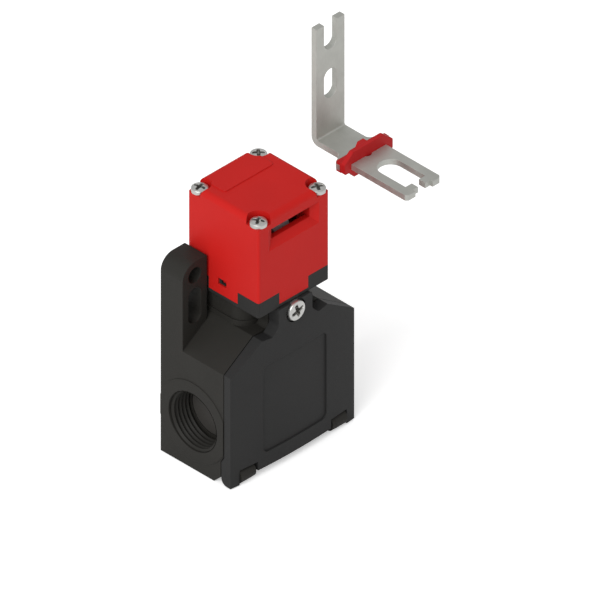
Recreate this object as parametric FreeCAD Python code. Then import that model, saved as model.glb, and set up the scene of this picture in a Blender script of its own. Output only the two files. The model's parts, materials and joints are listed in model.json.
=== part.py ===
"""Tongue interlock switch with a hinged cover, a turning cam head and a loose bent actuator.

Millimetres, +Z up.  X = 0 is the middle of the switch, Y = 0 is its rear mounting face and
Z = 0 its underside, so the front of the switch looks along -Y.
"""
import FreeCAD, Part
import math
import os

V = FreeCAD.Vector

# Clearances
seam_gap = 0.3           # flat rim of the cover to the housing
free_gap = 0.3           # every other free gap beside a moving body
nose_gap = 0.15          # plunger nose to the cam
bearing_gap = 0.05       # radial, pins and plungers in their bores
thread_gap = 0.05        # radial, screw shanks in their holes
contact_gap = 0.15       # between a closed pair of contacts

# Housing
body_half = 26.1
body_depth = 26.5
shoulder_z = 40.6
ridge_half = 13.8
ridge_z = 48.8
toe_setback = 4.0
toe_depth = body_depth - toe_setback       # where the underside ends
toe_step = 1.2
toe_face = body_depth - toe_step           # front face below the seam step
toe_rise = 2.7
step_low = 8.4
step_high = 10.4
rear_wall = 3.0
side_wall = 3.0
floor_wall = 4.0
window_floor = 12.9      # lower edge of the wiring opening in the front

# Mounting ears
ear_width = 10.2
ear_inner = body_half - ear_width
ear_depth = 9.3
ear_top = 70.7
ear_corner = 5.0
ear_hole_inset = 5.1
ear_hole_x = body_half - ear_hole_inset
ear_hole_z = 66.0
ear_hole_r = 2.7
ear_slot_low = 51.3
ear_slot_high = 58.6

# Neck that carries the head
plinth_half = 13.75
plinth_depth = 22.6
plinth_corner = 5.5
plinth_z = 50.6
neck_half = 13.2
neck_depth = 22.1
neck_corner = 5.0
head_floor = 57.3        # top of the neck, underside of the head

# Conduit entries, M20 x 1.5
conduit_r = 10.0
conduit_y = -13.7
conduit_z = 17.2
conduit_depth = 8.1
conduit_pad_r = 14.1
conduit_pad_rise = 0.2
conduit_chamfer = 0.3
entry_margin = 2.6       # wall kept above a conduit entry
knockout_wall = 1.0
knockout_groove_r = 8.3
knockout_groove = 0.4

# Cover and its hinge
crown_radius = 228.0
cover_thickness = 4.5    # at the middle of the crown, with the seam
cover_front = body_depth + cover_thickness
hinge_forward = 1.4
hinge_y = -body_depth - hinge_forward
hinge_z = 2.65
knuckle_r = 2.65
knuckle_inner = 17.5
knuckle_outer = 22.3
hinge_pin_r = 1.3
hinge_pin_length = 4.0
lug_r = 2.3
lug_inner = 22.6
notch_inner = 15.4
cover_floor = 2.4
cover_hollow = 1.7
valley_z = 48.2
valley_half = 9.6
valley_fillet = 2.5
tab_half = 7.1
tab_top = 57.0
label_half = 13.3
label_low = 7.6
label_high = 39.2
label_depth = 0.45
seal_inset = 0.8
seal_width = 1.2
seal_squeeze_gap = 0.05
seal_groove = 0.8

# Cover screw
cover_screw_z = 53.65
cover_screw_r = 2.0
cover_screw_head_r = 3.7
cover_screw_head = 1.8
cover_screw_proud = 0.95
cover_screw_length = 5.0  # beyond the back of the cover
cover_screw_recess = 0.3  # free ring round the head
tab_backing_half = 6.3

screw_crown = 1.2        # chamfered edge of the heads in view

# Head
head_half = 14.9
head_y = -15.2           # middle of the head, and the cam axis
rim_z = 58.4
post_size = 8.8
head_top = 92.0
head_wall = 2.0
head_edge = 0.8
head_top_edge = 2.0
column_inner = 8.0
head_screw_offset = 12.4
head_screw_r = 1.5
head_screw_head_r = 2.7
head_screw_seat = 89.4
head_screw_head = 1.8
head_screw_pocket_r = 3.6
head_screw_end = 59.6
top_pad_half = 10.4
top_pad_front = -11.4
top_pad_rear = -2.0
top_pad_rise = 0.25
snap_front = -16.5
snap_rear = -13.0
snap_low = 61.7
snap_high = 64.0
snap_depth = 1.35

# Tongue slot in the front of the head
slot_half = 8.05
slot_low = 82.6
slot_high = 87.0
slot_face_depth = 1.45   # how far the slot lies behind the front face
slot_wall = 1.85
funnel_half = 10.6
funnel_low = 79.8
lip_z = 87.5

# Cam
cam_z = 76.5
cam_r = 10.6
cam_half = 3.3
cam_web_half = 1.25
cam_turn = 70.0          # degrees between tongue out and tongue home
cam_dwell = 15.0         # degrees of full lift before the spiral
cam_released_dwell = 25.0
cam_pressed_r = 10.2     # radius that holds the plunger down
plunger_travel = 3.0
cam_hub_r = 3.6
axle_r = 2.0
axle_half = 12.6
saddle_inner = 9.0
saddle_half = 4.2
upright_half = 1.7
notch_width = 3.6
notch_floor_r = 6.9

# Plunger, its bush and spring
plunger_r = 1.8
bush_r = 3.4
bush_flange_r = 5.0
bush_flange = 1.0
bush_low = 50.0
collar_r = 4.2
collar_low = 62.0
collar_high = 63.2
plunger_low = 46.2
spring_outer_r = 3.5
spring_inner_r = 2.7
spring_seat = 58.5
spring_well_r = 4.6
plate_top = 60.4
post_rise = 2.2
post_z = plate_top + post_rise
seal_ring_inner = 7.2
seal_ring_outer = 9.0
seal_ring_depth = 0.9

# Screws that hold the head base on the neck
base_screw_x = 9.8
base_screw_y = 4.1
base_screw_r = 1.25
base_screw_head_r = 1.9
base_screw_head = 1.4
base_screw_length = 6.0

# Contact block
block_half = 15.6
block_front = -20.5
block_low = 27.0
block_high = 43.5
channel_half = 4.3
channel_depth_half = 3.3
channel_low = 30.5
spring_pocket_r = 2.4
spring_pocket_low = 28.0
carrier_low = 31.0
carrier_high = 42.4
carrier_gap = 0.1
bridge_half = 9.6
bridge_width_half = 1.8
bridge_thickness = 0.8
upper_bridge_z = 37.3
lower_bridge_z = 33.3
rivet_x = 8.0
rivet_r = 1.3
rivet_height = 0.5
strip_inner = 6.2
strip_outer = 13.5
strip_tab_inner = 8.6
strip_tab_length = 4.4
strip_thickness = 0.8
terminal_r = 1.2
terminal_head_r = 1.9
terminal_head = 1.5
terminal_grip = 4.5
clamp_half = 2.2
clamp_thickness = 0.8
block_screw_x = 6.2
block_screw_z = 28.75
block_screw_r = 0.9
block_screw_head_r = 1.6
block_screw_head = 1.1
block_screw_grip = 2.2
bridge_spring_outer = 2.2
bridge_spring_inner = 1.5

# Actuator, a loose piece beside the head with its tongue along -Y
tongue_x = 40.1
tongue_top = 85.8
sheet = 2.0
leg_half = 5.93
leg_rear = -3.4
leg_sheet = 2.1
leg_height = 40.25
bend_inner = 0.6
fork_half = 2.72
fork_round = 33.4
leg_slot_low = 15.6
leg_slot_high = 20.6
flare_start = -15.3
flare_end = -17.7
shoulder_half = 10.2
shoulder_end = -20.0
tongue_half = 7.3
tongue_tip = -45.0
hook_face = -41.3
hook_end = -43.95
hook_gap_half = 1.5
prong_step = 3.6
window_half = 4.15
window_rear = -30.95
pin_r = 1.6
pin_y = -20.75
flange_front = -21.65
flange_half = 10.15
cheek_rear = -18.05
cheek_top = 1.0
cheek_low = -2.6
holder_top = 3.9
holder_low = -5.1
holder_top_half = 6.5
holder_foot_half = 6.2
holder_waist_half = 7.9
holder_waist = -2.8
flange_low = -2.65
flange_high = 0.8
rib_foot_half = 4.1
rib_waist_half = 2.2
rib_waist = 1.9
rib_top_half = 1.2
rib_top = 3.5

MIDDLE = V(0, 0, 0)
ACROSS = V(1, 0, 0)


def outline(corners, place):
    """Closed wire through (u, v) or (u, v, radius) corners, with a tangent arc at each radius."""
    arcs = []
    for i, corner in enumerate(corners):
        here = place(corner[0], corner[1])
        radius = corner[2] if len(corner) > 2 else 0.0
        if radius == 0:
            arcs.append((here, None, here))
            continue
        before = corners[i - 1]
        after = corners[(i + 1) % len(corners)]
        back = (place(before[0], before[1]) - here).normalize()
        ahead = (place(after[0], after[1]) - here).normalize()
        half_angle = back.getAngle(ahead) / 2
        reach = radius / math.tan(half_angle)
        inward = (back + ahead).normalize()
        crest = here + inward * (radius / math.sin(half_angle) - radius)
        arcs.append((here + back * reach, crest, here + ahead * reach))
    edges = []
    for i, (start, crest, end) in enumerate(arcs):
        if crest is not None:
            edges.append(Part.Arc(start, crest, end).toShape())
        following = arcs[(i + 1) % len(arcs)][0]
        if end.distanceToPoint(following) > 1e-6:
            edges.append(Part.makeLine(end, following))
    return Part.Wire(edges)


def along_x(corners, start, end):
    """Solid with a (y, z) outline between two X planes."""
    wire = outline(corners, lambda y, z: V(start, y, z))
    return Part.Face(wire).extrude(V(end - start, 0, 0))


def along_y(corners, start, end):
    """Solid with an (x, z) outline between two Y planes."""
    wire = outline(corners, lambda x, z: V(x, start, z))
    return Part.Face(wire).extrude(V(0, end - start, 0))


def along_z(corners, start, end):
    """Solid with an (x, y) outline between two Z planes."""
    wire = outline(corners, lambda x, y: V(x, y, start))
    return Part.Face(wire).extrude(V(0, 0, end - start))


def box(x0, x1, y0, y1, z0, z1):
    return Part.makeBox(x1 - x0, y1 - y0, z1 - z0, V(x0, y0, z0))


def rod_x(x0, x1, y, z, radius):
    return Part.makeCylinder(radius, x1 - x0, V(x0, y, z), V(1, 0, 0))


def rod_y(x, y0, y1, z, radius):
    return Part.makeCylinder(radius, y1 - y0, V(x, y0, z), V(0, 1, 0))


def rod_z(x, y, z0, z1, radius):
    return Part.makeCylinder(radius, z1 - z0, V(x, y, z0), V(0, 0, 1))


def mirrored(shape):
    """The shape's copy on the other side of X = 0."""
    return shape.mirror(MIDDLE, ACROSS)


def both_sides(shapes):
    return shapes + [mirrored(shape) for shape in shapes]


def fuse(shapes):
    return shapes[0].multiFuse(shapes[1:]).removeSplitter()


def cut(shape, tools):
    return shape.cut(tools).removeSplitter()


def symmetric(right_half):
    """Corner list of a symmetric outline from its right half, listed from bottom to top."""
    left_half = [(-corner[0],) + tuple(corner[1:]) for corner in reversed(right_half)]
    return right_half + left_half


def screw(seat, direction, shank_r, shank, head_r, head, crown=0.0):
    """Screw whose head stands on the seat, with a crowned edge, and whose shank runs along the direction."""
    profile = [(0, -head), (head_r - crown, -head), (head_r, crown - head), (head_r, 0), (shank_r, 0),
               (shank_r, shank), (0, shank)]
    if crown == 0:
        profile.pop(1)
    wire = outline(profile, lambda r, z: V(r, 0, z))
    body = Part.Face(wire).revolve(MIDDLE, V(0, 0, 1), 360)
    body.Placement = FreeCAD.Placement(seat, FreeCAD.Rotation(V(0, 0, 1), direction))
    return body


# ---------------------------------------------------------------- housing

def front_outline(inset):
    """Front view of the body below the neck, with parallel walls inset by a wall thickness."""
    slope = math.atan2(ridge_z - shoulder_z, body_half - ridge_half)
    drop = inset * math.tan(slope / 2)
    rise = inset * math.tan((math.pi / 2 - slope) / 2)
    return slope, drop, rise


def body_outline():
    return symmetric([(body_half, 0), (body_half, shoulder_z), (ridge_half, ridge_z)])


def cavity_outline(floor):
    """Wiring space in front view: narrow between the conduit entries, wide above them."""
    narrow = body_half - conduit_depth - knockout_wall
    wide = body_half - side_wall
    slope, drop, rise = front_outline(side_wall)
    roof = ridge_z - side_wall
    roof_half = ridge_half - rise
    step = conduit_z + conduit_r + entry_margin
    shoulder = shoulder_z - drop
    return symmetric([(narrow, floor, 1.5), (narrow, step, 1.0), (wide, step, 1.0), (wide, shoulder, 1.0),
                      (roof_half, roof, 1.0)])


def ear():
    profile = [(ear_inner, shoulder_z - 4.0), (body_half, shoulder_z - 4.0), (body_half, ear_top, ear_corner),
               (ear_inner, ear_top)]
    return along_y(profile, -ear_depth, 0)


def column(half, depth, corner, low, high):
    """Block that runs back to the rear face, with rounded front corners."""
    return along_z([(-half, 0), (-half, -depth, corner), (half, -depth, corner), (half, 0)], low, high)


def knuckle():
    """Fixed hinge barrel with its web to the toe of the housing."""
    barrel = rod_x(knuckle_inner, knuckle_outer, hinge_y, hinge_z, knuckle_r)
    web = box(knuckle_inner, knuckle_outer, hinge_y, -toe_depth, hinge_z - knuckle_r, hinge_z + knuckle_r)
    return fuse([barrel, web])


def conduit_cutters():
    """Bore, mouth chamfer and the groove round the knock-out disc of the right-hand entry."""
    outside = body_half + conduit_pad_rise
    floor = body_half - conduit_depth
    bore = rod_x(floor, outside + 1, conduit_y, conduit_z, conduit_r)
    mouth = Part.makeCone(conduit_r, conduit_r + conduit_chamfer, conduit_chamfer,
                          V(outside - conduit_chamfer, conduit_y, conduit_z), V(1, 0, 0))
    groove_outer = rod_x(floor - knockout_groove, floor, conduit_y, conduit_z, knockout_groove_r + knockout_groove)
    groove_inner = rod_x(floor - knockout_groove, floor, conduit_y, conduit_z, knockout_groove_r)
    return [bore, mouth, groove_outer.cut(groove_inner)]


def ear_cutters():
    slot = along_y([(ear_hole_x + ear_hole_r, ear_slot_low - ear_hole_r, ear_hole_r * 0.999),
                    (ear_hole_x + ear_hole_r, ear_slot_high + ear_hole_r, ear_hole_r * 0.999),
                    (ear_hole_x - ear_hole_r, ear_slot_high + ear_hole_r, ear_hole_r * 0.999),
                    (ear_hole_x - ear_hole_r, ear_slot_low - ear_hole_r, ear_hole_r * 0.999)],
                   -ear_depth - 1, 1)
    return [rod_y(ear_hole_x, -ear_depth - 1, 1, ear_hole_z, ear_hole_r), slot]


def housing():
    body = along_y(body_outline(), -body_depth, 0)
    toe = along_x([(-toe_depth, -1), (-toe_depth, 0), (-toe_face, toe_rise), (-toe_face, step_low),
                   (-body_depth, step_high), (-body_depth - 1, step_high), (-body_depth - 1, -1)],
                  -body_half - 1, body_half + 1)
    body = body.cut(toe)
    pad = rod_x(body_half - 1, body_half + conduit_pad_rise, conduit_y, conduit_z, conduit_pad_r)
    pad = pad.common(box(0, body_half + 1, -body_depth, 0, 0, shoulder_z))
    tab_backing = along_y(symmetric([(tab_backing_half, ridge_z - 2), (tab_backing_half, tab_top - 0.6)]),
                          -body_depth, -neck_depth + 1)
    added = both_sides([ear(), pad, knuckle()])
    added += [column(plinth_half, plinth_depth, plinth_corner, ridge_z - 2, plinth_z),
              column(neck_half, neck_depth, neck_corner, ridge_z - 2, head_floor), tab_backing]
    body = fuse([body] + added)

    inner = along_y(cavity_outline(floor_wall), -toe_depth + 0.5, -rear_wall)
    window = along_y(cavity_outline(window_floor), -body_depth - 1, -rear_wall)
    pin_bore = rod_x(knuckle_inner - 1, knuckle_outer + 1, hinge_y, hinge_z, hinge_pin_r + bearing_gap)
    cutters = both_sides([pin_bore] + conduit_cutters() + ear_cutters())
    cutters += [inner, window]
    cutters.append(rod_z(0, head_y, bush_low, head_floor + 1, bush_r))
    cutters.append(rod_z(0, head_y, head_floor - bush_flange, head_floor + 1, bush_flange_r))
    cutters.append(rod_z(0, head_y, ridge_z - side_wall - 1, bush_low, plunger_r + 3 * free_gap))
    ring = rod_z(0, head_y, head_floor - seal_ring_depth, head_floor + 1, seal_ring_outer)
    cutters.append(ring.cut(rod_z(0, head_y, head_floor - seal_ring_depth, head_floor + 1, seal_ring_inner)))
    screw_end = -body_depth - seam_gap + cover_screw_length
    cutters.append(rod_y(0, -body_depth - 1, screw_end + 0.5, cover_screw_z, cover_screw_r + 2 * free_gap))
    for x, y in base_screw_places():
        cutters.append(rod_z(x, y, head_floor - base_screw_length, head_floor + 1, base_screw_r + thread_gap))
    for x in (-block_screw_x, block_screw_x):
        cutters.append(rod_y(x, -rear_wall - 1, -rear_wall + block_screw_grip, block_screw_z,
                             block_screw_r + thread_gap))
    return cut(body, cutters)


# ---------------------------------------------------------------- cover

def crown(depth_change):
    """Everything behind the cover's crowned front, or behind a surface parallel to it."""
    radius = crown_radius - depth_change
    return rod_z(0, crown_radius - cover_front, -5, tab_top + 5, radius)


def cover():
    rear = -body_depth - seam_gap
    face = symmetric([(body_half, -1), (body_half, shoulder_z), (ridge_half, ridge_z),
                      (valley_half, valley_z, valley_fillet * 0.3),
                      (tab_half, valley_z + valley_fillet, valley_fillet), (tab_half, tab_top, 1.0)])
    slab = along_y(face, -cover_front - 1, rear)
    toe_rear = -toe_face - free_gap
    foot = along_x([(rear - 1, -1), (toe_rear, -1), (toe_rear, step_low), (rear, step_high), (rear - 1, step_high)],
                   -body_half, body_half)
    shell = fuse([slab, foot])

    low = hinge_z - lug_r
    middle_floor = box(-notch_inner, notch_inner, -cover_front - 2, 0, -2, cover_floor)
    notch_top = hinge_z + knuckle_r + free_gap
    cutters = [middle_floor, box(-body_half, body_half, -cover_front - 2, 0, -2, low)]
    cutters += both_sides([box(notch_inner, lug_inner, -cover_front - 2, 0, -2, notch_top)])
    heel = box(-body_half, body_half, hinge_y, 0, low - 1, hinge_z)
    cutters.append(heel.cut(rod_x(-body_half, body_half, hinge_y, hinge_z, lug_r)))
    cutters.append(along_y(cavity_outline(window_floor), rear - cover_hollow, rear + 1))
    cutters.append(seal_ring(rear - seal_groove, rear + 1))
    head_face = -cover_front - cover_screw_proud + cover_screw_head
    cutters.append(rod_y(0, -cover_front - 1, head_face, cover_screw_z, cover_screw_head_r + cover_screw_recess))
    cutters.append(rod_y(0, -cover_front - 1, rear + 1, cover_screw_z, cover_screw_r + 2 * thread_gap))
    label = along_y(symmetric([(label_half, label_low, 2.0), (label_half, label_high, 2.0)]), -cover_front - 1, rear)
    cutters.append(label.cut(crown(label_depth)))
    shell = cut(shell, cutters).common(crown(0))
    pin = rod_x(lug_inner - hinge_pin_length, lug_inner + 0.5, hinge_y, hinge_z, hinge_pin_r)
    return fuse([shell] + both_sides([pin]))


def seal_ring(front, rear):
    """Ring that follows the wiring opening, between two Y planes."""
    wire = outline(cavity_outline(window_floor), lambda x, z: V(x, front, z))
    outer = Part.Face(wire.makeOffset2D(seal_inset + seal_width))
    inner = Part.Face(wire.makeOffset2D(seal_inset))
    return outer.extrude(V(0, rear - front, 0)).cut(inner.extrude(V(0, rear - front, 0)))


def cover_seal():
    rear = -body_depth - seam_gap
    return seal_ring(rear - seal_groove, -body_depth - seal_squeeze_gap)


def cover_screw():
    head_face = -cover_front - cover_screw_proud + cover_screw_head
    rear = -body_depth - seam_gap
    return screw(V(0, head_face, cover_screw_z), V(0, 1, 0), cover_screw_r, rear + cover_screw_length - head_face,
                 cover_screw_head_r, cover_screw_head, screw_crown)


# ---------------------------------------------------------------- head

def square(half, low, high, corner=0.0):
    """Square block about the middle of the head."""
    return along_z([(half, head_y - half, corner), (half, head_y + half, corner), (-half, head_y + half, corner),
                    (-half, head_y - half, corner)], low, high)


def at_corners(shape):
    """Four copies of a shape made at the right rear corner of the head."""
    rear = both_sides([shape])
    return rear + [piece.mirror(V(0, head_y, 0), V(0, 1, 0)) for piece in rear]


def base_screw_places():
    return [(x, head_y + y) for x in (-base_screw_x, base_screw_x) for y in (-base_screw_y, base_screw_y)]


def head_base():
    post = box(head_half - post_size, head_half, head_y + head_half - post_size, head_y + head_half, rim_z, post_z)
    inner_half = head_half - head_wall - 0.1
    upright = box(saddle_inner + 0.5, axle_half, head_y - upright_half, head_y + upright_half, rim_z, cam_z)
    base = fuse([square(head_half, head_floor, rim_z), square(inner_half, rim_z, plate_top)] + at_corners(post)
                + both_sides([upright]))
    base = base.common(square(head_half, head_floor, cam_z, head_edge))
    cutters = [rod_z(0, head_y, head_floor - 1, plate_top + 1, plunger_r + 2 * free_gap),
               rod_z(0, head_y, spring_seat, plate_top + 1, spring_well_r),
               rod_x(-axle_half - 1, axle_half + 1, head_y, cam_z, axle_r)]
    for x, y in base_screw_places():
        cutters.append(rod_z(x, y, head_floor - 1, plate_top + 1, base_screw_r + thread_gap))
    hole = rod_z(head_screw_offset, head_y + head_screw_offset, head_screw_end - 0.5, post_z + 1,
                 head_screw_r + thread_gap)
    return cut(base, cutters + at_corners(hole))


def tongue_slot():
    """Slot through the front wall with its funnel, which has bevels on three sides."""
    front = head_y - head_half
    face = front + slot_face_depth
    slot = box(-slot_half, slot_half, face - 0.1, face + slot_wall + 0.5, slot_low, slot_high)
    outer = outline(symmetric([(funnel_half, funnel_low), (funnel_half, lip_z)]), lambda x, z: V(x, front, z))
    inner = outline(symmetric([(slot_half, slot_low), (slot_half, lip_z)]), lambda x, z: V(x, face, z))
    funnel = Part.makeLoft([outer, inner], True, True)
    mouth = box(-funnel_half, funnel_half, front - 1, front, funnel_low, lip_z)
    return [slot, funnel, mouth]


def head_shell():
    inner = head_half - head_wall
    front = head_y - head_half
    roof = head_top - head_wall
    block = square(head_half, rim_z, head_top, head_edge)
    top_edges = [edge for edge in block.Edges if edge.BoundBox.ZMin > head_top - 0.01]
    block = block.makeFillet(head_top_edge, top_edges)
    pad = along_z([(top_pad_half, top_pad_front, 1.0), (top_pad_half, top_pad_rear, 1.0),
                   (-top_pad_half, top_pad_rear, 1.0), (-top_pad_half, top_pad_front, 1.0)],
                  head_top - 1, head_top + top_pad_rise)
    block = block.fuse(pad)

    hollow = square(inner, rim_z - 1, roof)
    columns = at_corners(box(column_inner, inner, head_y + column_inner, head_y + inner, rim_z - 1, roof))
    post = box(head_half - post_size, head_half + 1, head_y + head_half - post_size, head_y + head_half + 1,
               rim_z - 1, post_z)
    block = block.cut(hollow.cut(columns))
    slot_rib = box(-slot_half - 1, slot_half + 1, front + head_wall - 0.2, front + slot_face_depth + slot_wall,
                   slot_low - 3, roof + 0.2)
    slot_rib = slot_rib.common(box(-column_inner, column_inner, front, head_y, 0, head_top))
    saddle = box(saddle_inner, inner + 0.2, head_y - saddle_half, head_y + saddle_half, post_z + 1.0,
                 cam_z + saddle_half)
    block = fuse([block, slot_rib] + both_sides([saddle]))

    axle_way = rod_x(saddle_inner - 1, inner, head_y, cam_z, axle_r)
    axle_entry = box(saddle_inner - 1, inner, head_y - axle_r, head_y + axle_r, post_z, cam_z)
    snap = box(head_half - snap_depth, head_half + 1, snap_front, snap_rear, snap_low, snap_high)
    pocket = rod_z(head_screw_offset, head_y + head_screw_offset, head_screw_seat, head_top + 1, head_screw_pocket_r)
    hole = rod_z(head_screw_offset, head_y + head_screw_offset, rim_z, head_screw_seat + 1,
                 head_screw_r + thread_gap)
    cutters = at_corners(post) + at_corners(pocket) + at_corners(hole)
    cutters += both_sides([axle_way, axle_entry, snap]) + tongue_slot()
    return cut(block, cutters)


def head_screws():
    screws = []
    for x in (-head_screw_offset, head_screw_offset):
        for y in (head_y - head_screw_offset, head_y + head_screw_offset):
            screws.append(screw(V(x, y, head_screw_seat), V(0, 0, -1), head_screw_r, head_screw_seat - head_screw_end,
                                head_screw_head_r, head_screw_head, screw_crown))
    return Part.makeCompound(screws)


def base_screws():
    screws = [screw(V(x, y, plate_top), V(0, 0, -1), base_screw_r, plate_top - head_floor + base_screw_length - 0.5,
                    base_screw_head_r, base_screw_head) for x, y in base_screw_places()]
    return Part.makeCompound(screws)


def head_seal():
    ring = rod_z(0, head_y, head_floor - seal_ring_depth, head_floor, seal_ring_outer)
    return ring.cut(rod_z(0, head_y, head_floor - seal_ring_depth, head_floor, seal_ring_inner))


def plunger_bush():
    bush = fuse([rod_z(0, head_y, bush_low, head_floor, bush_r),
                 rod_z(0, head_y, head_floor - bush_flange, head_floor, bush_flange_r)])
    return cut(bush, [rod_z(0, head_y, bush_low - 1, head_floor + 1, plunger_r + bearing_gap)])


def cam_axle():
    return rod_x(-axle_half, axle_half, head_y, cam_z, axle_r)


def cam_point(radius, degrees):
    """Point of the cam rim, measured from straight down and positive towards the rear."""
    angle = math.radians(degrees)
    return V(-cam_half, head_y + radius * math.sin(angle), cam_z - radius * math.cos(angle))


def cam_arc(radius, start, end):
    return Part.Arc(cam_point(radius, start), cam_point(radius, (start + end) / 2), cam_point(radius, end)).toShape()


def cam_wheel():
    """Wheel with a falling spiral under it for the plunger and two notches that the tongue's hooks turn."""
    released_r = cam_pressed_r - plunger_travel
    dwell = cam_dwell
    released_end = cam_turn + cam_released_dwell
    spiral_points = [cam_point(cam_pressed_r - plunger_travel * i / 14, cam_turn * i / 14) for i in range(15)]
    spiral = Part.BSplineCurve()
    spiral.interpolate(spiral_points)
    edges = [cam_arc(cam_pressed_r, -dwell, 0), spiral.toShape(), cam_arc(released_r, cam_turn, released_end),
             Part.makeLine(cam_point(released_r, released_end), cam_point(cam_r, released_end)),
             cam_arc(cam_r, released_end, 360 - dwell - 5),
             Part.makeLine(cam_point(cam_r, -dwell - 5), cam_point(cam_pressed_r, -dwell))]
    wheel = Part.Face(Part.Wire(edges)).extrude(V(2 * cam_half, 0, 0))
    hub = rod_x(-saddle_inner + free_gap, saddle_inner - free_gap, head_y, cam_z, cam_hub_r)
    wheel = fuse([wheel, hub])
    notch = box(cam_web_half, cam_half + 1, -notch_width / 2, notch_width / 2, notch_floor_r, cam_r + 2)
    notch.rotate(MIDDLE, ACROSS, cam_turn / 2)
    notch.translate(V(0, head_y, cam_z))
    bore = rod_x(-saddle_inner, saddle_inner, head_y, cam_z, axle_r + bearing_gap)
    return cut(wheel, both_sides([notch]) + [bore])


def plunger():
    tip = cam_z - cam_pressed_r - nose_gap
    stem = rod_z(0, head_y, plunger_low, tip, plunger_r)
    nose = fuse([rod_x(-plunger_r, plunger_r, head_y, tip - plunger_r, plunger_r),
                 box(-plunger_r, plunger_r, head_y - plunger_r, head_y + plunger_r, plunger_low, tip - plunger_r)])
    collar = rod_z(0, head_y, collar_low, collar_high, collar_r)
    return fuse([stem.common(nose), collar])


def tube_z(outer, inner, low, high):
    return rod_z(0, head_y, low, high, outer).cut(rod_z(0, head_y, low, high, inner))


# ---------------------------------------------------------------- contact block

def strip(z, towards):
    """Right-hand contact strip: a leg into the block and a tab on its front, up or down from the leg."""
    low = z
    high = z + strip_thickness
    rear = head_y + bridge_width_half
    leg = box(strip_inner, strip_outer, block_front, rear, low, high)
    tab_low = low if towards > 0 else high - strip_tab_length
    tab = box(strip_tab_inner, strip_outer, block_front, block_front + strip_thickness, tab_low,
              tab_low + strip_tab_length)
    return fuse([leg, tab])


def upper_strip_z():
    return upper_bridge_z + bridge_thickness + rivet_height + plunger_travel + contact_gap


def lower_strip_z():
    return lower_bridge_z - rivet_height - contact_gap - strip_thickness


def terminal_places():
    """X and Z of the right-hand terminals: each in the middle of its strip's tab."""
    x = (strip_tab_inner + strip_outer) / 2
    upper = upper_strip_z() + strip_thickness - strip_tab_length / 2
    lower = lower_strip_z() + strip_thickness - strip_tab_length / 2
    return [(x, upper), (x, lower)]


def fixed_contacts():
    strips = []
    for z in (upper_strip_z(), lower_strip_z()):
        strips.append(strip(z, -1))
    holes = [rod_y(x, block_front - 1, block_front + 1, z, terminal_r + thread_gap) for x, z in terminal_places()]
    return Part.makeCompound(both_sides([piece.cut(holes) for piece in strips]))


def contact_block():
    block = along_y(symmetric([(block_half, block_low, 0.8), (block_half, block_high, 0.8)]), block_front,
                    -rear_wall)
    cutters = [box(-channel_half, channel_half, head_y - channel_depth_half, head_y + channel_depth_half, channel_low,
                   block_high + 1),
               box(-bridge_half - 0.6, bridge_half + 0.6, head_y - bridge_width_half - 0.3,
                   head_y + bridge_width_half + 0.3, lower_strip_z(), upper_strip_z() + strip_thickness),
               rod_z(0, head_y, spring_pocket_low, channel_low + 1, spring_pocket_r)]
    for x in (-block_screw_x, block_screw_x):
        cutters.append(rod_y(x, block_front - 1, -rear_wall + 1, block_screw_z, block_screw_r + thread_gap))
    for z in (upper_strip_z(), lower_strip_z()):
        cutters += both_sides([strip(z, -1)])
    for x, z in terminal_places():
        cutters += both_sides([rod_y(x, block_front - 1, block_front + terminal_grip + 0.5, z, terminal_r + thread_gap)])
    return cut(block, cutters)


def contact_carrier():
    """Slider with two windows for the bridges and a stem up to the plunger."""
    half = channel_half - carrier_gap
    depth = channel_depth_half - carrier_gap
    body = fuse([box(-half, half, head_y - depth, head_y + depth, carrier_low, carrier_high),
                 rod_z(0, head_y, carrier_high - 1, plunger_low - carrier_gap, plunger_r)])
    windows = []
    for z in (upper_bridge_z, lower_bridge_z):
        windows.append(box(-half - 1, half + 1, head_y - bridge_width_half, head_y + bridge_width_half, z,
                           z + bridge_thickness))
    return cut(body, windows)


def bridge_contacts():
    """Two bridges with rivets that face their strips: up for the upper pair, down for the lower one."""
    bridges = []
    rivet_lows = (upper_bridge_z + bridge_thickness, lower_bridge_z - rivet_height)
    for z, rivet_low in zip((upper_bridge_z, lower_bridge_z), rivet_lows):
        bar = box(-bridge_half, bridge_half, head_y - bridge_width_half, head_y + bridge_width_half, z,
                  z + bridge_thickness)
        rivets = [rod_z(x, head_y, rivet_low, rivet_low + rivet_height, rivet_r) for x in (-rivet_x, rivet_x)]
        bridges.append(fuse([bar] + rivets))
    return Part.makeCompound(bridges)


def terminal_clamps():
    clamps = []
    for x, z in terminal_places():
        plate = box(x - clamp_half, x + clamp_half, block_front - clamp_thickness, block_front, z - clamp_half + 0.3,
                    z + clamp_half)
        clamps.append(plate.cut(rod_y(x, block_front - 2, block_front + 1, z, terminal_r + thread_gap)))
    return Part.makeCompound(both_sides(clamps))


def terminal_screws():
    screws = [screw(V(x, block_front - clamp_thickness, z), V(0, 1, 0), terminal_r, clamp_thickness + terminal_grip,
                    terminal_head_r, terminal_head) for x, z in terminal_places()]
    return Part.makeCompound(both_sides(screws))


def block_screws():
    shank = -rear_wall - block_front + block_screw_grip - 0.2
    screws = [screw(V(x, block_front, block_screw_z), V(0, 1, 0), block_screw_r, shank, block_screw_head_r,
                    block_screw_head) for x in (-block_screw_x, block_screw_x)]
    return Part.makeCompound(screws)


# ---------------------------------------------------------------- actuator

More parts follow.
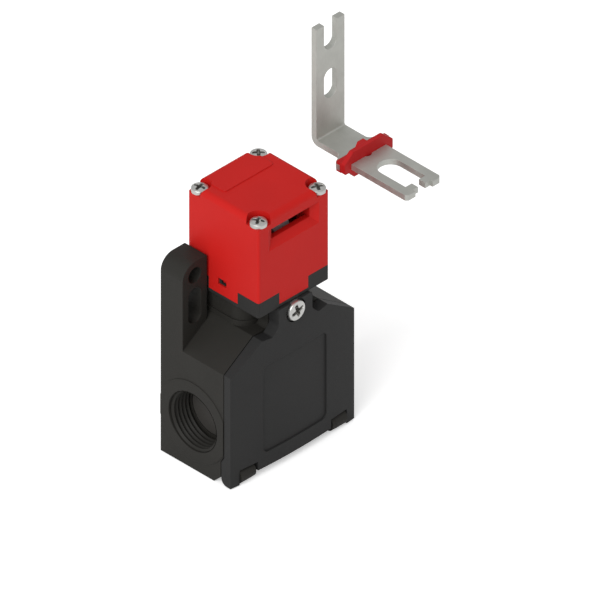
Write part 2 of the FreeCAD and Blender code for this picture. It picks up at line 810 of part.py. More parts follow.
def blade():
    """Bent sheet: a slotted leg, a flared plate and the tongue with its window and two hooks."""
    rear = leg_rear
    plate = along_z(symmetric([(tongue_half, tongue_tip + 0.8, 0.6), (tongue_half, shoulder_end),
                               (shoulder_half, shoulder_end, 0.8), (shoulder_half, flare_end, 1.2),
                               (leg_half, flare_start, 2.0), (leg_half, rear - leg_sheet / 2)]), -sheet, 0)
    tips = along_z(symmetric([(hook_gap_half, hook_end), (prong_step, hook_end), (prong_step, tongue_tip),
                              (tongue_half - 0.8, tongue_tip), (tongue_half, tongue_tip + 0.8),
                              (tongue_half, tongue_tip + 2)]), -sheet, 0)
    below = along_z(symmetric([(prong_step, tongue_tip - 1), (prong_step, hook_end)]), -sheet - 1, 1)
    plate = fuse([plate, tips]).cut(below)
    gap = box(-hook_gap_half, hook_gap_half, tongue_tip - 1, hook_face + 1, -sheet - 1, 1)
    opening = fuse([box(-window_half, window_half, hook_face, window_rear, -sheet - 1, 1),
                    rod_z(0, window_rear, -sheet - 1, 1, window_half)])
    plate = plate.cut([gap, opening, rod_z(0, pin_y, -sheet - 1, 1, pin_r)])

    bend_outer = bend_inner + leg_sheet
    side = along_x([(rear, leg_height), (rear - leg_sheet, leg_height), (rear - leg_sheet, 0, bend_inner),
                    (rear - leg_sheet - 2, 0), (rear - leg_sheet - 2, -sheet), (rear, -sheet, bend_outer)],
                   -leg_half, leg_half)
    plate = plate.common(box(-50, 50, tongue_tip - 1, rear - leg_sheet - 1, -sheet - 1, 1))
    front = rear - leg_sheet - 1
    fork = fuse([rod_y(0, front, rear + 1, fork_round, fork_half),
                 box(-fork_half, fork_half, front, rear + 1, fork_round, leg_height + 1)])
    slot = fuse([rod_y(0, front, rear + 1, leg_slot_low, fork_half), rod_y(0, front, rear + 1, leg_slot_high, fork_half),
                 box(-fork_half, fork_half, front, rear + 1, leg_slot_low, leg_slot_high)])
    piece = fuse([plate, cut(side, [fork, slot])])
    piece.translate(V(tongue_x, 0, tongue_top))
    return piece


def holder():
    """Moulded stop over the blade's shoulder, with a front flange, two cheeks and a thumb rib."""
    flange = along_y(symmetric([(holder_foot_half, holder_low, 0.3), (holder_waist_half, holder_waist),
                                (flange_half, flange_low, 0.5), (flange_half, flange_high, 0.6),
                                (holder_top_half, holder_top, 0.6)]), flange_front, shoulder_end)
    cheek = box(-flange_half, flange_half, shoulder_end, cheek_rear, cheek_low, cheek_top)
    rib = along_y(symmetric([(rib_foot_half, cheek_top - 0.5), (rib_foot_half, cheek_top), (rib_waist_half, rib_waist),
                             (rib_top_half, rib_top)]), shoulder_end, cheek_rear)
    piece = fuse([flange, cheek, rib])
    piece.translate(V(tongue_x, 0, tongue_top))
    return cut(piece, [blade()])


# ---------------------------------------------------------------- parts

parts = {
    "housing": housing(),
    "cover": cover(),
    "cover_seal": cover_seal(),
    "cover_screw": cover_screw(),
    "head_base": head_base(),
    "head_shell": head_shell(),
    "head_screws": head_screws(),
    "base_screws": base_screws(),
    "head_seal": head_seal(),
    "plunger_bush": plunger_bush(),
    "cam_axle": cam_axle(),
    "cam_wheel": cam_wheel(),
    "plunger": plunger(),
    "plunger_spring": tube_z(spring_outer_r, spring_inner_r, spring_seat, collar_low),
    "contact_block": contact_block(),
    "fixed_contacts": fixed_contacts(),
    "terminal_clamps": terminal_clamps(),
    "terminal_screws": terminal_screws(),
    "block_screws": block_screws(),
    "contact_carrier": contact_carrier(),
    "bridge_contacts": bridge_contacts(),
    "bridge_spring": tube_z(bridge_spring_outer, bridge_spring_inner, spring_pocket_low, carrier_low),
    "actuator_blade": blade(),
    "actuator_holder": holder(),
}

os.makedirs("parts", exist_ok=True)
for name, shape in parts.items():
    if not shape.isValid():
        raise ValueError(name + " is not a valid solid")
    shape.exportStep("parts/" + name + ".step")
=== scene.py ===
"""Finish of the tongue interlock switch: black and red plastic, bright screws, satin sheet steel."""
import bmesh
import bpy
import json
import math
import numpy as np
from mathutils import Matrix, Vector


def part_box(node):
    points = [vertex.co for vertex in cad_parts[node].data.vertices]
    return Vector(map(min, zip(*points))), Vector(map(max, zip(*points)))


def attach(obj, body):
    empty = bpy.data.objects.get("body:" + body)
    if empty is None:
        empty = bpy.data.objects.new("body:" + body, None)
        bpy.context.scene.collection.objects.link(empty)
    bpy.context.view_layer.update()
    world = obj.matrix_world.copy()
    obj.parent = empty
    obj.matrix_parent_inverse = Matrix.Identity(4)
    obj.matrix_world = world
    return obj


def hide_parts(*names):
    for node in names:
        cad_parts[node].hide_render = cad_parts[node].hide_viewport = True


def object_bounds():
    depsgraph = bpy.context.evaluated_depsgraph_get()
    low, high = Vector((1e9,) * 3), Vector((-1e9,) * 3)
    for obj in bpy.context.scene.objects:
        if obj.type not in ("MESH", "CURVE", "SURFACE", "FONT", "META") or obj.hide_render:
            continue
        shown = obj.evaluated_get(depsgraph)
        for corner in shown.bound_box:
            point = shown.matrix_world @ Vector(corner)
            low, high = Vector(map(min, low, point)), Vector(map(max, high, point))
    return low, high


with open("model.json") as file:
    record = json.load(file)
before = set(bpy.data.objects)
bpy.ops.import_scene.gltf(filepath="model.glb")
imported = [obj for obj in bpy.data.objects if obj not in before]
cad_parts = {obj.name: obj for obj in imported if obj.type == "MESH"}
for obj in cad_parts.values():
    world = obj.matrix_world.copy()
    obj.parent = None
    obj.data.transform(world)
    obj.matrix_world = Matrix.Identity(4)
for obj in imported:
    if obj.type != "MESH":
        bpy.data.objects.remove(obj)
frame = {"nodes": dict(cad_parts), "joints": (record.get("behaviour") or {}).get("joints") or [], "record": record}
cad_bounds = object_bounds()

mounts = {mount["name"]: mount for mount in frame["record"]["mounts"]}
joints = {joint["name"]: joint for joint in frame["joints"]}

MM = 0.001
TAU = 2 * math.pi

# Camera: true isometric, from the front left and above
VIEW_TARGET = Vector((0.01636, -0.01636, 0.04179))
VIEW_DIRECTION = Vector((-1, -1, 1)).normalized()
VIEW_WIDTH = 0.1791
VIEW_DISTANCE = 1.0
VIEW_CLIP = (0.01, 10.0)

# Light: a broad key from the left and above, and an even sky
KEY_DIRECTION = (-0.76, -0.21, 0.61)
KEY_STRENGTH = 1.75
KEY_WIDTH = math.radians(40)
SKY_STRENGTH = 0.55
BACKGROUND_STRENGTH = 1.0

# Floor
FLOOR_HALF = 3.0
FLOOR_GAP = 0.05 * MM
FLOOR_COLOUR = (0.93, 0.93, 0.93, 1)
FLOOR_ROUGHNESS = 0.9
FLOOR_GLOW = 0.42

# Meshes: the breadth that keeps a new face off another, and the angle past which an edge is sharp
HAIR = 0.02 * MM
SHARP_ANGLE = math.radians(40)

# Thread of the side entries: pitch, depth, share of a flat crest, land at the mouth, and fading ends
THREAD_PITCH = 1.5 * MM
THREAD_DEPTH = 0.75 * MM
CREST_FLAT = 0.15
MOUTH_LAND = 0.35 * MM
MOUTH_FADE = 0.5 * MM
FLOOR_FADE = 0.4 * MM
THREAD_COLUMNS = 160
THREAD_ROWS_A_TURN = 14

# Screws: height of a CAD head, thread, and the grid of the finished surface
CAD_HEAD = 1.8 * MM
SCREW_PITCH = 0.5 * MM
SCREW_DEPTH = 0.3 * MM
SCREW_COLUMNS = 96
SCREW_ROWS_A_TURN = 6
TOP_RINGS = 43
TOP_CROWDING = 0.8
RIM_RINGS = 5

# Screw heads, as shares of their radius or height: the top's reach, the rim's drop, the underside's
# edge, the point, and the recess with its half width, reach and depth
TOP_REACH = 0.93
RIM_DROP = 0.45
UNDERSIDE = 0.98
POINT = 0.5
CROSS_HALF = 0.19
CROSS_REACH = 0.70
CROSS_DEPTH = 0.85

# Arms of the recess, as shares of their half width or reach: width at the middle, taper, wall and end
ARM_ROOT = 1.25
ARM_TAPER = 0.45
ARM_WALL = 0.2
ARM_END = 0.3

# Faces of the recess take the darker finish, which paints the recess's shade, within these shares of the head's
# radius and height
PAINTED_SHADE_REACH = 0.75
PAINTED_SHADE_HEIGHT = 0.72

# Coil springs: wire, turns and grid
PLUNGER_WIRE = 0.55 * MM
CONTACT_WIRE = 0.4 * MM
SPRING_TURNS = 4.5
FLAT_TURNS = 0.75
SPRING_ROWS_A_TURN = 40
WIRE_COLUMNS = 12

# Corners of the round outlines: a knock-out disc, a knuckle, and the quarter circle of a web
DISC_CORNERS = 64
KNUCKLE_CORNERS = 48
WEB_CORNERS = 12

# Noises: the middle band that sets the roughness and its spread, and the stops of the tint
ROUGH_BAND = (0.3, 0.7)
PLASTIC_SPREAD = (-0.05, 0.05)
METAL_SPREAD = (-0.06, 0.08)
TINT_STOPS = (0.32, 0.68)


# ---------------------------------------------------------------- surfaces
# A surface is an array of points and a list of face arrays, each with faces of one number of corners.

def grid_quads(rows, columns):
    """Quads of a rows x columns grid of points whose rows close into rings."""
    i, j = np.meshgrid(np.arange(rows - 1), np.arange(columns), indexing="ij")
    here = i * columns
    after = here + columns
    j2 = (j + 1) % columns
    return np.stack([here + j, after + j, after + j2, here + j2], -1).reshape(-1, 4)


def ring_fan(centre, first, columns):
    """Triangles from the point numbered centre to the ring of points that begins at first."""
    j = np.arange(columns)
    return np.stack([np.full(columns, centre), first + j, first + (j + 1) % columns], -1)


def joined(parts):
    """One surface from several: their points in a row, and each face's numbers moved along."""
    counts = [len(points) for points, _ in parts]
    starts = np.cumsum([0] + counts[:-1])
    faces = [block + start for (_, blocks), start in zip(parts, starts) for block in blocks]
    return np.concatenate([points for points, _ in parts]), faces


def placed(surface, seat, direction):
    """Surface made round +Z, turned so that +Z runs along the direction, and set on the seat."""
    points, faces = surface
    turn = Vector((0, 0, 1)).rotation_difference(Vector(direction)).to_matrix()
    return points @ np.array(turn).T + np.array(seat), faces


def cross_depth(x, y, half, reach, depth):
    """Depth of a cross recess: full inside both arms, which narrow outwards, easing to nothing at
    their walls in a straight line and at their ends as a square root."""
    across = np.minimum(np.abs(x), np.abs(y))
    along = np.maximum(np.abs(x), np.abs(y))
    wall = half * (ARM_ROOT - ARM_TAPER * along / reach) - across
    side = np.clip(wall / (half * ARM_WALL), 0, 1)
    end = np.clip((reach - along) / (reach * ARM_END), 0, 1)
    return depth * side * np.sqrt(end)


def screw_surface(head_r, head_h, crown, shank_r, shank, turn):
    """Screw round +Z with its head below Z = 0 and its shank above: one grid of rings, closed by a
    fan at the middle of the head and one at the point.

    The rings of the top lie at a height that falls with the square of the radius, less the cross
    recess.  The rings of the rim, underside and shank follow one profile, and the thread is a
    triangle wave of the height less the turn's share of a pitch, off the shank's radius."""
    theta = np.arange(SCREW_COLUMNS) / SCREW_COLUMNS * TAU
    top_r = np.linspace(0.0, 1.0, TOP_RINGS + 1)[1:] ** TOP_CROWDING * head_r * TOP_REACH
    r, a = np.meshgrid(top_r, theta, indexing="ij")
    x = r * np.cos(a)
    y = r * np.sin(a)
    along = x * math.cos(turn) - y * math.sin(turn)
    across = x * math.sin(turn) + y * math.cos(turn)
    recess = cross_depth(along, across, head_r * CROSS_HALF, head_r * CROSS_REACH, head_h * CROSS_DEPTH)
    top = np.stack([x, y, recess + crown * (r / head_r) ** 2 - head_h], -1).reshape(-1, 3)

    bend = np.linspace(0, math.pi / 2, RIM_RINGS + 1)[1:]
    rim_r = head_r * (TOP_REACH + (1 - TOP_REACH) * np.sin(bend))
    rim_z = (crown * TOP_REACH ** 2 - head_h) * (1 - RIM_DROP * (1 - np.cos(bend)))
    rows = int(shank / SCREW_PITCH * SCREW_ROWS_A_TURN)
    shank_z = np.linspace(0.0, shank, rows)
    profile_r = np.concatenate([rim_r, [head_r, head_r * UNDERSIDE], np.full(rows, shank_r),
                                [shank_r * POINT]])
    profile_z = np.concatenate([rim_z, [-HAIR, 0.0], shank_z, [shank]])
    z, a = np.meshgrid(profile_z, theta, indexing="ij")
    wave = np.abs(((z / SCREW_PITCH - a / TAU) % 1.0) * 2 - 1)
    threaded = (z > SCREW_PITCH) & (z < shank - SCREW_PITCH)
    r = profile_r[:, None] - SCREW_DEPTH * wave * threaded
    side = np.stack([r * np.cos(a), r * np.sin(a), z], -1).reshape(-1, 3)

    middle = [0.0, 0.0, -head_h * (1 - CROSS_DEPTH)]
    points = np.concatenate([top, side, [middle, [0.0, 0.0, shank]]])
    rings = TOP_RINGS + len(profile_r)
    count = rings * SCREW_COLUMNS
    head_fan = ring_fan(count, 0, SCREW_COLUMNS)[:, ::-1]
    point_fan = ring_fan(count + 1, count - SCREW_COLUMNS, SCREW_COLUMNS)
    return points, [grid_quads(rings, SCREW_COLUMNS)[:, ::-1], head_fan, point_fan]


def spring_surface(centre, radius, wire_r, low, high):
    """Round wire carried along a helix; the end turns lie flat, so the height eases at both ends."""
    rows = int(SPRING_TURNS * SPRING_ROWS_A_TURN)
    along = np.linspace(0, 1, rows)
    angle = along * SPRING_TURNS * TAU
    flat = FLAT_TURNS / SPRING_TURNS
    eased = np.clip((along - flat) / (1 - 2 * flat), 0, 1)
    height = low + wire_r + (high - low - 2 * wire_r) * eased
    around = np.arange(WIRE_COLUMNS) / WIRE_COLUMNS * TAU
    tube_r = radius + wire_r * np.cos(around)[None, :]
    x = centre[0] + tube_r * np.cos(angle)[:, None]
    y = centre[1] + tube_r * np.sin(angle)[:, None]
    z = height[:, None] + wire_r * np.sin(around)[None, :]
    points = np.stack([x, y, z], -1).reshape(-1, 3)
    first = np.arange(WIRE_COLUMNS)
    last = first[::-1] + (rows - 1) * WIRE_COLUMNS
    return points, [grid_quads(rows, WIRE_COLUMNS), np.stack([first, last])]


def thread_surface(centre, side, floor, mouth, radius):
    """Internal thread along X: the radius less a triangle wave of the depth along X minus the turn's
    share of a pitch, cut flat at crest and root, which fades out at the floor and the mouth."""
    rows = int((mouth - floor) / THREAD_PITCH * THREAD_ROWS_A_TURN)
    depth = np.linspace(floor, mouth, rows)
    theta = np.arange(THREAD_COLUMNS) / THREAD_COLUMNS * TAU
    d, a = np.meshgrid(depth, theta, indexing="ij")
    phase = (d / THREAD_PITCH - side * a / TAU) % 1.0
    crest = np.clip(1 + CREST_FLAT - np.abs(phase * 2 - 1) * (1 + 2 * CREST_FLAT), 0, 1)
    fade = np.clip((mouth - MOUTH_LAND - d) / MOUTH_FADE, 0, 1) * np.clip((d - floor) / FLOOR_FADE, 0, 1)
    r = radius - HAIR - THREAD_DEPTH * crest * fade
    points = np.stack([side * d, centre[0] + r * np.cos(a), centre[1] + r * np.sin(a)], -1)
    quads = grid_quads(rows, THREAD_COLUMNS)
    return points.reshape(-1, 3), [quads[:, ::-1] if side > 0 else quads]


def circle(centre, radius, count):
    """Corners of a circle: the centre plus the radius times the turn's cosine and sine."""
    turn = np.arange(count) / count * TAU
    return np.stack([centre[0] + radius * np.cos(turn), centre[1] + radius * np.sin(turn)], -1)


def prism(corners, axis, start, end):
    """Closed prism: a flat outline carried along one axis (0 for X, 1 for Y)."""
    levels = [np.insert(corners, axis, level, axis=1) for level in (start, end)]
    near = np.arange(len(corners))
    far = near + len(corners)
    sides = np.stack([near, far, np.roll(far, -1), np.roll(near, -1)], -1)
    return np.concatenate(levels), [np.stack([near, far[::-1]]), sides]


# ---------------------------------------------------------------- meshes

def mesh_piece(name, surface, material, body):
    """New piece from a surface, shaded smooth but for its sharp edges."""
    points, blocks = surface
    mesh = bpy.data.meshes.new(name)
    mesh.from_pydata(points.tolist(), [], [face for block in blocks for face in block.tolist()])
    mesh.update()
    mesh.shade_smooth()
    mesh.set_sharp_from_angle(angle=SHARP_ANGLE)
    mesh.materials.append(material)
    piece = bpy.data.objects.new(name, mesh)
    bpy.context.scene.collection.objects.link(piece)
    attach(piece, body)
    return piece


def closed_piece(name, parts, material, body):
    """New piece from one or more closed surfaces, with every face turned outwards."""
    piece = mesh_piece(name, joined(parts), material, body)
    work = bmesh.new()
    work.from_mesh(piece.data)
    bmesh.ops.recalc_face_normals(work, faces=work.faces)
    work.to_mesh(piece.data)
    work.free()
    return piece


def paint_recess_shade(piece, seats, direction, head_r, head_h, recess):
    """Gives the second finish, a darker metal that paints the recess's shade, to the faces near the axis of each
    head and well under its top.
    """
    mesh = piece.data
    mesh.materials.append(recess)
    centres = np.empty(len(mesh.polygons) * 3, dtype=np.float32)
    mesh.polygons.foreach_get("center", centres)
    offsets = centres.reshape(-1, 1, 3) - np.array(seats)
    axis = np.array(direction)
    heights = -offsets @ axis
    radii = np.linalg.norm(offsets + heights[..., None] * axis, axis=-1)
    inside = (radii < head_r * PAINTED_SHADE_REACH) & (heights > 0) & (heights < head_h * PAINTED_SHADE_HEIGHT)
    mesh.polygons.foreach_set("material_index", inside.any(axis=1).astype(np.int32))
    mesh.update()


# ---------------------------------------------------------------- materials

class Finish:
    """Node tree builder for one finish, on Object coordinates."""

    def __init__(self, name):
        """New material with its shader and its coordinates at hand."""
        self.material = bpy.data.materials.new(name)
        self.material.use_nodes = True
        self.tree = self.material.node_tree
        self.shader = self.tree.nodes["Principled BSDF"]
        self.coordinates = self.node("ShaderNodeTexCoord").outputs["Object"]

    def node(self, kind, **inputs):
        """Adds a node and sets the named inputs, whose names take _ for a space."""
        made = self.tree.nodes.new(kind)
        for name, value in inputs.items():
            made.inputs[name.replace("_", " ")].default_value = value
        return made

    def link(self, source, target):
        """Joins an output to an input."""
        self.tree.links.new(source, target)

    def stretched(self, scale):
        """The coordinates scaled by axis, on which a noise runs in streaks."""
        mapping = self.node("ShaderNodeMapping", Scale=scale)
        self.link(self.coordinates, mapping.inputs["Vector"])
        return mapping.outputs["Vector"]

    def noise(self, size_mm, detail, roughness, vector=None):
        """Fractal noise of one size."""
        made = self.node("ShaderNodeTexNoise", Scale=1 / MM / size_mm, Detail=detail, Roughness=roughness)
        self.link(vector or self.coordinates, made.inputs["Vector"])
        return made.outputs["Fac"]

    def rough(self, value, roughness, spread):
        """Roughness that the middle band of a noise takes down and up by the spread."""
        made = self.node("ShaderNodeMapRange", From_Min=ROUGH_BAND[0], From_Max=ROUGH_BAND[1],
                         To_Min=roughness + spread[0], To_Max=roughness + spread[1])
        self.link(value, made.inputs["Value"])
        self.link(made.outputs["Result"], self.shader.inputs["Roughness"])

    def tint(self, value, colour, variation):
        """Colour that a noise takes a share darker and lighter."""
        ramp = self.node("ShaderNodeValToRGB")
        for stop, position, share in zip(ramp.color_ramp.elements, TINT_STOPS, (-variation, variation)):
            stop.position = position
            stop.color = (*(c * (1 + share) for c in colour), 1)
        self.link(value, ramp.inputs["Fac"])
        self.link(ramp.outputs["Color"], self.shader.inputs["Base Color"])

    def relief(self, value, depth_mm, strength, edge_mm):
        """Bump from a height, over edges rounded by a small radius."""
        bump = self.node("ShaderNodeBump", Strength=strength, Distance=depth_mm * MM)
        edge = self.node("ShaderNodeBevel", Radius=edge_mm * MM)
        edge.samples = 4
        self.link(value, bump.inputs["Height"])
        self.link(edge.outputs["Normal"], bump.inputs["Normal"])
        self.link(bump.outputs["Normal"], self.shader.inputs["Normal"])


def moulded(name, colour, variation, roughness, specular, grain_mm, grain_depth_mm, edge_mm):
    """Moulded plastic: faint flow clouds in the colour, eroded fine grain, and softened edges."""
    finish = Finish(name)
    finish.tint(finish.noise(size_mm=18.0, detail=4.0, roughness=0.55), colour, variation)
    grain = finish.noise(grain_mm, detail=2.0, roughness=0.5)
    finish.rough(grain, roughness, PLASTIC_SPREAD)
    finish.shader.inputs["Specular IOR Level"].default_value = specular
    finish.relief(grain, grain_depth_mm, strength=0.6, edge_mm=edge_mm)
    return finish.material


def metal(name, colour, variation, roughness, stretch, scratch_depth_mm):
    """Metal: blotchy tone, and fine scratches from a noise stretched along one axis."""
    finish = Finish(name)
    finish.tint(finish.noise(size_mm=6.0, detail=4.0, roughness=0.55), colour, variation)
    scratches = finish.noise(size_mm=1.0, detail=3.0, roughness=0.6, vector=finish.stretched(stretch))
    finish.rough(scratches, roughness, METAL_SPREAD)
    finish.shader.inputs["Metallic"].default_value = 1.0
    finish.relief(scratches, scratch_depth_mm, strength=0.5, edge_mm=0.12)
    return finish.material


# Plastics: colour, its variation, roughness, specular level, grain, its depth and the edge in mm
PLASTICS = {
    "black_housing": ((0.0225, 0.0213, 0.0185), 0.06, 0.55, 0.20, 0.35, 0.012, 0.25),
    "black_cover": ((0.0230, 0.0229, 0.0227), 0.05, 0.55, 0.20, 0.35, 0.012, 0.25),
    "black_head": ((0.0240, 0.0236, 0.0226), 0.05, 0.55, 0.20, 0.35, 0.012, 0.25),
    "red_head": ((0.560, 0.0120, 0.0095), 0.03, 0.5, 0.15, 0.3, 0.010, 0.25),
    "red_holder": ((0.470, 0.0125, 0.0140), 0.03, 0.5, 0.15, 0.3, 0.010, 0.25),
    "black_disc": ((0.050, 0.047, 0.043), 0.06, 0.45, 0.35, 0.35, 0.012, 0.25),
    "black_rubber": ((0.012, 0.012, 0.012), 0.1, 0.75, 0.3, 0.2, 0.02, 0.1),
    "grey_cam": ((0.42, 0.42, 0.43), 0.08, 0.4, 0.5, 0.3, 0.008, 0.15),
    "ivory_block": ((0.40, 0.37, 0.28), 0.05, 0.5, 0.4, 0.4, 0.01, 0.25),
    "white_carrier": ((0.62, 0.62, 0.58), 0.04, 0.45, 0.4, 0.4, 0.01, 0.25),
}

# Metals: colour, its variation, roughness, stretch of the scratches and their depth in mm
METALS = {
    "bright_screw": ((0.66, 0.66, 0.64), 0.06, 0.40, (1, 1, 1), 0.004),
    # The next finish is a darker metal that paints the shade in the screws' cross recesses
    "screw_recess_painted_shade": ((0.27, 0.262, 0.245), 0.1, 0.5, (1, 1, 1), 0.004),
    "inner_screw": ((0.50, 0.50, 0.49), 0.08, 0.34, (1, 1, 1), 0.004),
    "zinc_clamp": ((0.58, 0.58, 0.56), 0.08, 0.32, (1, 4, 1), 0.005),
    "brass_bush": ((0.62, 0.46, 0.18), 0.08, 0.30, (1, 1, 8), 0.004),
    "contact_brass": ((0.64, 0.47, 0.20), 0.08, 0.28, (1, 6, 1), 0.004),
    "turned_steel": ((0.52, 0.52, 0.52), 0.06, 0.26, (8, 1, 1), 0.004),
    "spring_steel": ((0.48, 0.48, 0.48), 0.06, 0.28, (1, 1, 1), 0.003),
    "satin_sheet": ((0.59, 0.595, 0.56), 0.05, 0.60, (6, 0.4, 0.4), 0.006),
}


def finishes():
    """Every finish by its name: the record's material slots, black_disc, and the darker metal that paints the
    shade in the screws' cross recesses.
    """
    made = {name: moulded(name, *values) for name, values in PLASTICS.items()}
    made.update({name: metal(name, *values) for name, values in METALS.items()})
    return made


def dress_nodes(made):
    """Each CAD node takes its own copy of its slot's finish."""
    for entry in frame["record"]["subparts"]:
        node = frame["nodes"][entry["node"]]
        material = made[entry["material_slot"]].copy()
        material.name = entry["node"] + "_finish"
        if not node.material_slots:
            node.data.materials.append(material)
        for place in node.material_slots:
            place.material = material


# ---------------------------------------------------------------- pieces

def span(node):
    """Lowest and highest corners of a CAD node, as arrays."""
    low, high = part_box(node)
    return np.array(low), np.array(high)


def entries():
    """Both side entries: side, word, centre across X, floor, mouth and bore radius."""
    for side, word in ((-1, "left"), (1, "right")):
        entry = mounts["conduit_" + word]
        mouth = abs(entry["pos_m"][0])
        floor = mouth - entry["dims"]["length_mm"] * MM
        yield side, word, entry["pos_m"][1:], floor, mouth, entry["dims"]["r_mm"] * MM


def conduit_threads(made):
    """M20 x 1.5 turns in both side entries."""
    for side, word, centre, floor, mouth, radius in entries():
        surface = thread_surface(centre, side, floor, mouth - HAIR, radius)
        mesh_piece("conduit_thread_" + word, surface, made["black_housing"], "switch")


def cross_screws(name, body, seats, turns, direction, sizes, made):
    """Bright screws of one size, whose shanks run from their seats along the direction."""
    parts = [placed(screw_surface(turn=turn, **sizes), seat, direction)
             for seat, turn in zip(seats, turns)]
    piece = closed_piece(name, parts, made["bright_screw"], body)
    # The faces deep in each cross recess take the darker finish: painted shade
    paint_recess_shade(piece, seats, direction, sizes["head_r"], sizes["head_h"], made["screw_recess_painted_shade"])
    return piece


def head_screws(made):
    """The four long head screws with their cross recesses, each turned as it was left."""
    low, high = span("head_screws")
    end_gap = 0.05 * MM
    sizes = {"head_r": 2.7 * MM, "head_h": 1.75 * MM, "crown": 0.5 * MM, "shank_r": 1.5 * MM,
             "shank": high[2] - CAD_HEAD - low[2] - end_gap}
    seats = [(x, y, high[2] - CAD_HEAD)
             for y in (low[1] + sizes["head_r"], high[1] - sizes["head_r"])
             for x in (low[0] + sizes["head_r"], high[0] - sizes["head_r"])]
    turns = (0.5, 1.1, 0.2, 0.85)
    piece = cross_screws("head_screws_threaded", "switch", seats, turns, (0, 0, -1), sizes, made)
    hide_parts("head_screws")


def cover_screw(made):
    """The cover's screw with its cross recess."""
    low, high = span("cover_screw")
    middle = (low + high) / 2
    seat = (middle[0], low[1] + CAD_HEAD, middle[2])
    sizes = {"head_r": 3.35 * MM, "head_h": 1.78 * MM, "crown": 0.25 * MM, "shank_r": 2.0 * MM,
             "shank": high[1] - seat[1]}
    piece = cross_screws("cover_screw_threaded", "cover", [seat], [0.3], (0, 1, 0), sizes, made)
    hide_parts("cover_screw")


def springs(made):
    """The plunger's and the contact slider's coil springs."""
    for node, wire in (("plunger_spring", PLUNGER_WIRE), ("bridge_spring", CONTACT_WIRE)):
        low, high = span(node)
        wire_r = wire / 2
        surface = spring_surface((low + high) / 2, (high[0] - low[0]) / 2 - wire_r, wire_r, low[2], high[2])
        piece = closed_piece(node + "_coil", [surface], made["spring_steel"], "switch")
        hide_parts(node)


def tab_webs(made):
    """Web on each side of the screw tab, from the cover's seam back to the plinth, whose outline has a
    quarter circle that eases the ridge into the tab's side."""
    bend = np.linspace(0, math.pi / 2, WEB_CORNERS)
    bend_r, bend_x, bend_z = 2.6, 9.7, 51.1
    inner, outer, tab_side = 6.0, 10.6, 7.1
    low, high = 48.3, 56.3
    front, back = -26.45, -21.6
    arc = np.stack([bend_x - bend_r * np.cos(bend), bend_z - bend_r * np.sin(bend)], -1)
    outline = np.concatenate([[(inner, low), (inner, high), (tab_side, high)], arc, [(outer, low)]]) * MM
    parts = [prism(outline * (side, 1), 1, front * MM, back * MM) for side in (-1, 1)]
    closed_piece("tab_webs", parts, made["black_housing"], "switch")


def knuckle_ends(made):
    """Round inner end of each fixed hinge knuckle, about the cover's hinge."""
    knuckle_r, inner, outer = 2.6 * MM, 16.2 * MM, 17.6 * MM
    ring = circle(joints["cover_hinge"]["pos_m"][1:], knuckle_r, KNUCKLE_CORNERS)
    parts = [prism(ring, 0, side * inner, side * outer) for side in (-1, 1)]
    closed_piece("knuckle_ends", parts, made["black_housing"], "switch")


def snap_window_shade(made):
    """Black pieces that paint the shade in each snap window, drawn as the hook of the black head base: a block at
    the window's rear end and a strip along its sill.
    """
    inner, outer = 13.4, 14.35
    rear, tongue, front = -13.05, -13.95, -15.7
    low, sill, high = 61.75, 62.15, 63.95
    parts = []
    for side in (-1, 1):
        near, far = sorted((side * inner, side * outer))
        for start, end, top in ((tongue, rear, high), (front, tongue, sill)):
            corners = np.array([(near, low), (far, low), (far, top), (near, top)]) * MM
            parts.append(prism(corners, 1, start * MM, end * MM))
    closed_piece("snap_window_shade", parts, made["black_head"], "switch")


def knockout_discs(made):
    """Glossier face of each knock-out disc, on the floor of its entry."""
    disc_r, sunk, proud = 8.2 * MM, 0.1 * MM, 0.06 * MM
    parts = [prism(circle(centre, disc_r, DISC_CORNERS), 0, side * (floor - sunk), side * (floor + proud))
             for side, _, centre, floor, _, _ in entries()]
    closed_piece("knockout_discs", parts, made["black_disc"], "switch")


# ---------------------------------------------------------------- stage

def camera():
    """Camera without perspective, looking along the isometric direction at the target."""
    data = bpy.data.cameras.new("camera")
    data.type = "ORTHO"
    data.ortho_scale = VIEW_WIDTH
    data.clip_start, data.clip_end = VIEW_CLIP
    rig = bpy.data.objects.new("camera", data)
    rig.location = VIEW_TARGET + VIEW_DIRECTION * VIEW_DISTANCE
    rig.rotation_euler = (-VIEW_DIRECTION).to_track_quat("-Z", "Y").to_euler()
    bpy.context.scene.collection.objects.link(rig)
    bpy.context.scene.camera = rig


def key():
    """The key lamp, a sun wide enough for soft shadows."""
    data = bpy.data.lights.new("key", "SUN")
    data.energy = KEY_STRENGTH
    data.angle = KEY_WIDTH
    light = bpy.data.objects.new("key", data)
    light.rotation_euler = Vector(KEY_DIRECTION).to_track_quat("Z", "Y").to_euler()
    bpy.context.scene.collection.objects.link(light)


def glowing(tree, kind, strength):
    """White light of one strength: a Background or an Emission node's output."""
    glow = tree.nodes.new(kind)
    glow.inputs["Color"].default_value = (1, 1, 1, 1)
    glow.inputs["Strength"].default_value = strength
    return glow.outputs[0]


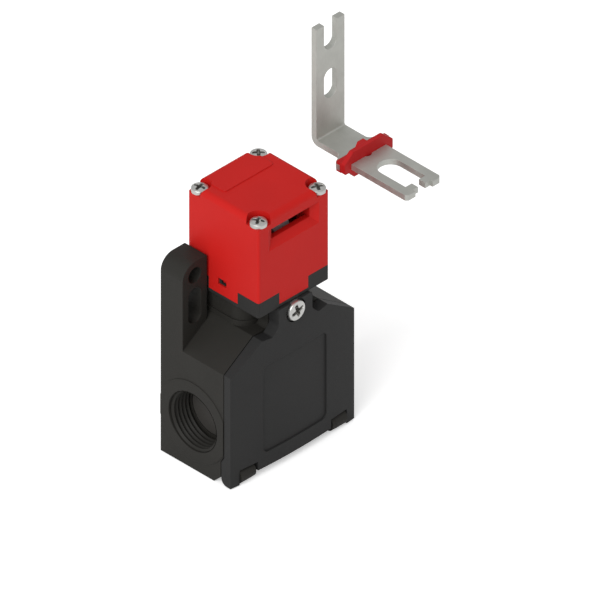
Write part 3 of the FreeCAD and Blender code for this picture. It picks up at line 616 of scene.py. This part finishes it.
def by_ray(tree, others, camera_rays):
    """Shader that takes one output for rays from the camera and another for all other rays."""
    path = tree.nodes.new("ShaderNodeLightPath")
    choice = tree.nodes.new("ShaderNodeMixShader")
    tree.links.new(path.outputs["Is Camera Ray"], choice.inputs["Fac"])
    tree.links.new(others, choice.inputs[1])
    tree.links.new(camera_rays, choice.inputs[2])
    return choice.outputs["Shader"]


def sky():
    """An even sky, which the camera sees as white."""
    world = bpy.data.worlds.new("sky")
    world.use_nodes = True
    tree = world.node_tree
    tree.nodes.remove(tree.nodes["Background"])
    choice = by_ray(tree, glowing(tree, "ShaderNodeBackground", SKY_STRENGTH),
                    glowing(tree, "ShaderNodeBackground", BACKGROUND_STRENGTH))
    tree.links.new(choice, tree.nodes["World Output"].inputs["Surface"])
    bpy.context.scene.world = world


def ground():
    """A white floor just under the switch, seen as nearly white with the soft shadow kept."""
    corners = np.array([(-1, -1, 0), (1, -1, 0), (1, 1, 0), (-1, 1, 0)]) * FLOOR_HALF
    corners[:, 2] = cad_bounds[0][2] - FLOOR_GAP
    mesh = bpy.data.meshes.new("floor")
    mesh.from_pydata(corners.tolist(), [], [[0, 1, 2, 3]])
    material = bpy.data.materials.new("floor")
    material.use_nodes = True
    tree = material.node_tree
    shader = tree.nodes["Principled BSDF"]
    shader.inputs["Base Color"].default_value = FLOOR_COLOUR
    shader.inputs["Roughness"].default_value = FLOOR_ROUGHNESS
    choice = by_ray(tree, glowing(tree, "ShaderNodeEmission", 0.0),
                    glowing(tree, "ShaderNodeEmission", FLOOR_GLOW))
    total = tree.nodes.new("ShaderNodeAddShader")
    tree.links.new(shader.outputs["BSDF"], total.inputs[0])
    tree.links.new(choice, total.inputs[1])
    tree.links.new(total.outputs["Shader"], tree.nodes["Material Output"].inputs["Surface"])
    mesh.materials.append(material)
    plane = bpy.data.objects.new("floor", mesh)
    bpy.context.scene.collection.objects.link(plane)


camera()
key()
sky()
ground()
made_finishes = finishes()
dress_nodes(made_finishes)
conduit_threads(made_finishes)
head_screws(made_finishes)
cover_screw(made_finishes)
springs(made_finishes)
tab_webs(made_finishes)
knuckle_ends(made_finishes)
# Black pieces that paint the shade in the snap windows
snap_window_shade(made_finishes)
knockout_discs(made_finishes)
bpy.context.scene.view_settings.view_transform = "Standard"
